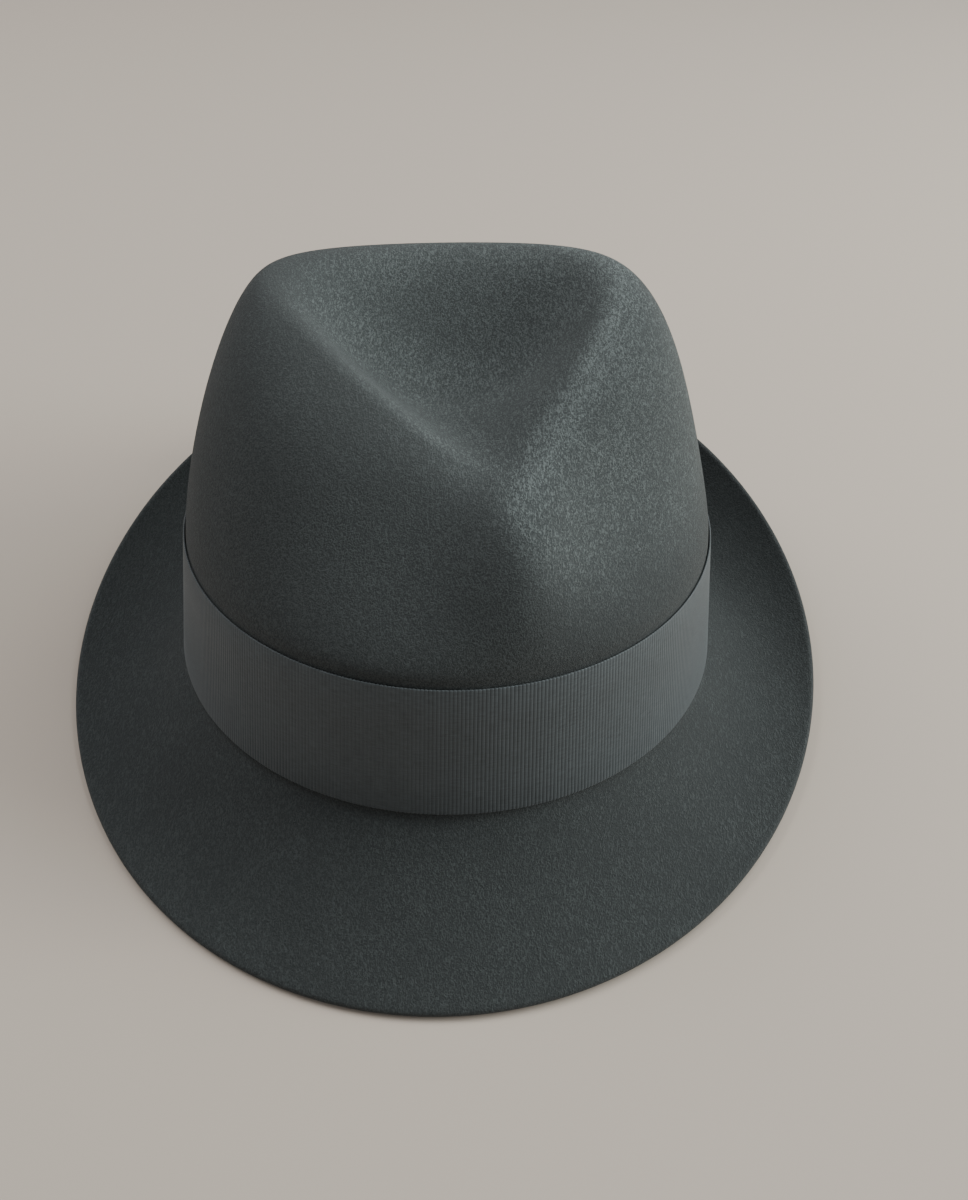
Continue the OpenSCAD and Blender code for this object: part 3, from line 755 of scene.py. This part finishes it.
class TRILBY_OT_bow(bpy.types.Operator):
    """Bow on the wearer's left: a closed band pressed into two loops, and the keeper round its waist"""

    bl_idname = "trilby.bow"
    bl_label = "Bow and keeper"

    def execute(self, context):
        s = context.scene.trilby_sizes
        form = HatForm(s)
        material = bpy.data.materials["rayon_grosgrain"]
        seat = 3 * s.fit_gap + 2 * s.ribbon_t
        low, top = form.ribbon_low + s.bow_inset, form.ribbon_top - s.bow_inset
        outline = flat_bow(s.bow_l, (s.ribbon_t + s.fit_gap) / 2, s.bow_puff, s.ribbon_t)

        def on_wall(x, y, z):
            return form.off_wall(s.bow_at + x / form.foot_y, z, y)

        section = low, top, s.ribbon_t
        loops, total = ribbed_piece("bow_loops", form, outline + (0, seat), True, section, on_wall)
        dress(loops, material, "grosgrain", "ribbon_bow")

        inner = seat - s.fit_gap - s.ribbon_t / 2
        outer = seat + 2 * s.ribbon_t + 3 * s.fit_gap + s.ribbon_t / 2
        wide, tall = (top - low) / 2 + s.fit_gap + s.ribbon_t / 2, (outer - inner) / 2
        a, corner = np.arange(OUTLINE) / OUTLINE * TURN, 5
        square = 1 / (np.abs(np.cos(a)) ** corner + np.abs(np.sin(a)) ** corner) ** (1 / corner)
        wrap = np.stack([(low + top) / 2 + wide * square * np.cos(a),
                         (inner + outer) / 2 + tall * square * np.sin(a)], 1)

        def over_bow(x, y, z):
            return form.off_wall(s.bow_at + z / form.foot_y, x, y)

        section = -s.keeper_w / 2, s.keeper_w / 2, s.ribbon_t
        keeper, total = ribbed_piece("bow_wrap", form, wrap, True, section, over_bow)
        dress(keeper, material, "grosgrain", "bow_keeper")
        return {"FINISHED"}


class TRILBY_OT_sweatband(bpy.types.Operator):
    """Leather sweatband with its taped reed, its row of stitches and the small bow over its back seam"""

    bl_idname = "trilby.sweatband"
    bl_label = "Sweatband"

    def execute(self, context):
        s, colours = context.scene.trilby_sizes, context.scene.trilby_colours
        form = HatForm(s)
        depth = form.sweat_depth + s.sweat_t / 2
        gap = s.seam_gap / form.foot_x
        steps, slack, waves = 560, 0.1 * MM, 9
        t, _ = form.round_wall(form.sweat_low, -depth, math.pi + gap / 2, math.pi + TURN - gap / 2, steps)
        across, offset = stadium(form.sweat_low, form.sweat_top, s.sweat_t, face_rows=16, edge_rows=6)
        wave = slack * np.sin(waves * t[:, None]) * (across - form.sweat_low) / s.sweat_h
        band = form.off_wall(t[:, None], across[None], -depth + offset[None] + wave - slack)
        piece = mesh_piece("leather_sweatband", form.stood(band))
        dress(piece, sweatband_leather(colours), "leather", "sweatband")

        sides, winds, swell = 12, 90, 0.05
        t = form.round_wall(s.reed_lift, -depth, 0.0, TURN, steps + 1)[0][:-1, None]
        a = np.arange(sides) / sides * TURN
        radius = s.reed_d / 2 * (1 + swell * np.sin(a + winds * t))
        reed = form.off_wall(t, s.reed_lift + radius * np.sin(a), -depth + radius * np.cos(a))
        piece = mesh_piece("taped_reed", form.stood(reed), looped=True)
        dress(piece, cotton("cotton_tape", colours.tape, pitch_mm=0.5), "reed", "sweatband_reed")

        self.stitches(form, cotton("sewing_thread", colours.thread, pitch_mm=0.3))
        self.seam_bow(form)
        return {"FINISHED"}

    def stitches(self, form, material):
        """Row of stitches along the leather's lower edge: each is a bent spindle, thick in the middle, whose
        ends dip into the leather."""
        s = form.s
        rings, sides, row = 7, 8, form.sweat_low + 2.5 * MM
        out, dip, blunt = 0.35, 0.45, 0.02
        t, total = form.round_wall(row, -form.head_depth, 0.0, TURN, FINE)
        count = round(total / s.stitch_pitch)
        at = np.linspace(-1, 1, rings)[:, None]
        a = np.arange(sides) / sides * TURN
        along = (np.arange(count)[:, None, None] + 0.5) * total / count + at * s.stitch_l / 2
        thick = s.stitch_d / 2 * np.sqrt(np.maximum(blunt, 1 - at ** 2))
        inward = -form.head_depth - s.stitch_d * (out - dip * at ** 2) - thick * np.cos(a)
        along, height, inward = np.broadcast_arrays(along, row + thick * np.sin(a), inward)
        spindles = form.stood(form.off_wall(np.interp(along, np.linspace(0, total, FINE), t), height, inward))
        first = np.arange(count)[:, None, None] * rings * sides
        quads = (quads_between(rings, sides) + first).reshape(-1, 4)
        ends = np.stack([np.arange(sides)[::-1], (rings - 1) * sides + np.arange(sides)])
        ends = (ends + first).reshape(-1, sides)
        piece = new_piece("sweatband_stitches", spindles.reshape(-1, 3), quads.tolist() + ends.tolist())
        dress(piece, material, "seam_ribbon")

    def seam_bow(self, form):
        """Small ribbon bow over the butt seam, inside the back of the hat."""
        s = form.s
        top = form.sweat_top - s.seam_bow_drop
        outline = flat_bow(s.seam_bow_l, (s.seam_bow_t + s.fit_gap) / 2, s.seam_bow_puff, s.seam_bow_t)
        section = top - s.seam_bow_w, top, s.seam_bow_t

        def inside(x, y, z):
            return form.off_wall(math.pi + x / form.foot_x, z, -form.head_depth - s.fit_gap - y)

        piece, _ = ribbed_piece("seam_bow", form, outline, True, section, inside)
        dress(piece, bpy.data.materials["rayon_grosgrain"], "seam_ribbon", "sweatband_bow")


class TRILBY_OT_lining(bpy.types.Operator):
    """Satin lining: a gathered wall behind the sweatband, and a top under the crease"""

    bl_idname = "trilby.lining"
    bl_label = "Lining"

    def execute(self, context):
        s = context.scene.trilby_sizes
        form = HatForm(s)
        material = lining_satin(context.scene.trilby_colours)
        steps = 8 * s.gathers
        t = np.arange(steps) / steps * TURN
        pleat = 0.5 + 0.5 * np.sin(s.gathers * t + 1.5 * np.sin(5 * t) + np.sin(11 * t + 1))
        around_foot = TURN * form.foot_x
        felt_per_w = 40 * MM  # about what one step of w measures on the crown

        start = 2 + (s.lining_low - s.break_r) / (form.straight_h - s.break_r)
        w = np.concatenate([np.linspace(start, 3, 8)[:-1], np.linspace(3, form.seam_w, 16)])
        held_to = 2.85  # the sweatband holds the wall flat up to this w
        free = np.clip((w - held_to) / (form.seam_w - held_to), 0, 1)[:, None]
        depth = form.lining_depth + s.gather_depth * free * pleat[None]
        sections = np.concatenate([form.face(t[None], w[:, None], depth),
                                   form.face(t[None], w[::-1, None], depth[::-1] + s.lining_t)])
        up = np.concatenate([w, w[::-1], w[:1]]) * felt_per_w
        uv = (np.linspace(0, around_foot, steps + 1), up)
        side = mesh_piece("satin_side", form.stood(sections.swapaxes(0, 1)), looped=True, uv=uv)
        dress(side, material, "satin", "lining_side")
        self.half_area(side) / around_foot

        w = np.concatenate([[form.seam_w + s.fit_gap / (s.crown_front_h - form.straight_h)],
                            np.linspace(form.seam_w, 4, 8)[1:-1], 4 + np.arange(24) / 24])
        spread = 0.7  # the gathers run out this far up w from the seam
        near = np.clip(1 - (w - form.seam_w) / spread, 0, 1)[:, None] ** 2
        depth = form.lining_depth + s.gather_depth * near * pleat[None]
        sections = np.concatenate([form.face(t[None], w[::-1, None], depth[::-1] + s.lining_t),
                                   form.face(t[None], w[:, None], depth)])
        out = np.concatenate([w[::-1], w]) * felt_per_w
        tip = mesh_piece("satin_tip", form.stood(sections), uv=(out, np.linspace(0, around_foot, steps + 1)))
        dress(tip, material, "satin", "lining_tip")
        seam_room = 15 * MM
        fill = 0.98  # the most of its rectangle that the flat piece may fill
        wide = 2 * (form.foot_x - s.ridge_in_side + seam_room)
        long = 2 * form.foot_y - s.ridge_in_front
        min(self.half_area(tip), fill * wide * long)
        return {"FINISHED"}

    def half_area(self, piece):
        """Area of one side of a thin closed sheet."""
        areas = np.empty(len(piece.data.polygons))
        piece.data.polygons.foreach_get("area", areas)
        return float(areas.sum() / 2)


class TRILBY_OT_stage(bpy.types.Operator):
    """Plain pale floor, a window light from the right, soft light from above, and the camera"""

    bl_idname = "trilby.stage"
    bl_label = "Floor, light and camera"

    def execute(self, context):
        v = context.scene.trilby_view
        self.floor(context)
        self.light("window_light", v.daylight, v.key_power, size=0.8, place=(1.39, 0.0, 0.62))
        self.light("right_light", v.daylight, v.right_power, size=0.9, place=(0.8, 0.46, 1.24))
        self.light("left_light", v.room, v.left_power, size=0.9, place=(-0.8, 0.46, 1.24))
        world = bpy.data.worlds.new("soft_room")
        world.use_nodes = True
        feed(world.node_tree.nodes["Background"], {"Color": rgba(v.room), "Strength": v.room_light})
        context.scene.world = world
        self.camera(context, v)
        return {"FINISHED"}

    def floor(self, context):
        """Level square under the hat."""
        side = 15.0
        corners = np.array([(-side, -side, 0), (side, -side, 0), (side, side, 0), (-side, side, 0)])
        plane = new_piece("floor", corners, [(0, 1, 2, 3)])
        material, _, shader = new_material("pale_floor")
        feed(shader, {"Base Color": rgba(context.scene.trilby_colours.floor), "Roughness": 0.9})
        plane.data.materials.append(material)

    def light(self, name, tint, power, size, place):
        """Square area light that faces the middle of the hat."""
        middle = Vector((0, 0, 60 * MM))
        lamp = bpy.data.lights.new(name, "AREA")
        lamp.color, lamp.energy, lamp.size = tint, power, size
        holder = bpy.data.objects.new(name, lamp)
        holder.location = place
        holder.rotation_euler = (middle - Vector(place)).to_track_quat("-Z", "Y").to_euler()
        bpy.context.scene.collection.objects.link(holder)

    def camera(self, context, v):
        """Camera on a sphere about the target, rolled about its own axis."""
        level = math.cos(v.elevation)
        back = Vector((math.sin(v.azimuth) * level, -math.cos(v.azimuth) * level, math.sin(v.elevation)))
        across = Vector((math.cos(v.azimuth), math.sin(v.azimuth), 0))
        up = back.cross(across)
        right = across * math.cos(v.roll) + up * math.sin(v.roll)
        top = up * math.cos(v.roll) - across * math.sin(v.roll)
        lens = bpy.data.cameras.new("camera")
        lens.sensor_fit, lens.sensor_height = "VERTICAL", SENSOR_TALL
        lens.lens = SENSOR_TALL * v.focal_pixels / PHOTO_TALL
        eye = bpy.data.objects.new("camera", lens)
        turned = Matrix((right, top, back)).transposed().to_4x4()
        eye.matrix_world = Matrix.Translation(Vector(v.target) + back * v.distance) @ turned
        context.scene.collection.objects.link(eye)
        context.scene.camera = eye


class TRILBY_PT_panel(bpy.types.Panel):
    """Steps and sizes of the hat, in the 3D view's sidebar"""

    bl_label = "Felt trilby"
    bl_idname = "TRILBY_PT_panel"
    bl_space_type = "VIEW_3D"
    bl_region_type = "UI"
    bl_category = "Trilby"

    def draw(self, context):
        for step in STEPS:
            self.layout.operator(step.bl_idname)
        for group in GROUPS:
            box = self.layout.box()
            owner = getattr(context.scene, group)
            for name in GROUPS[group].__annotations__:
                box.prop(owner, name)


STEPS = (
    TRILBY_OT_felt, TRILBY_OT_ribbon, TRILBY_OT_bow, TRILBY_OT_sweatband, TRILBY_OT_lining, TRILBY_OT_stage)
GROUPS = {"trilby_sizes": TrilbySizes, "trilby_colours": TrilbyColours, "trilby_view": TrilbyView}


def register():
    for kind in (*GROUPS.values(), *STEPS, TRILBY_PT_panel):
        bpy.utils.register_class(kind)
    for name, kind in GROUPS.items():
        setattr(bpy.types.Scene, name, bpy.props.PointerProperty(type=kind))


def unregister():
    for name in GROUPS:
        delattr(bpy.types.Scene, name)
    for kind in reversed((*GROUPS.values(), *STEPS, TRILBY_PT_panel)):
        bpy.utils.unregister_class(kind)


def main():
    """Builds the hat and its stage."""
    register()
    for step in STEPS:
        group, name = step.bl_idname.split(".")
        getattr(getattr(bpy.ops, group), name)()


if __name__ == "__main__":
    main()
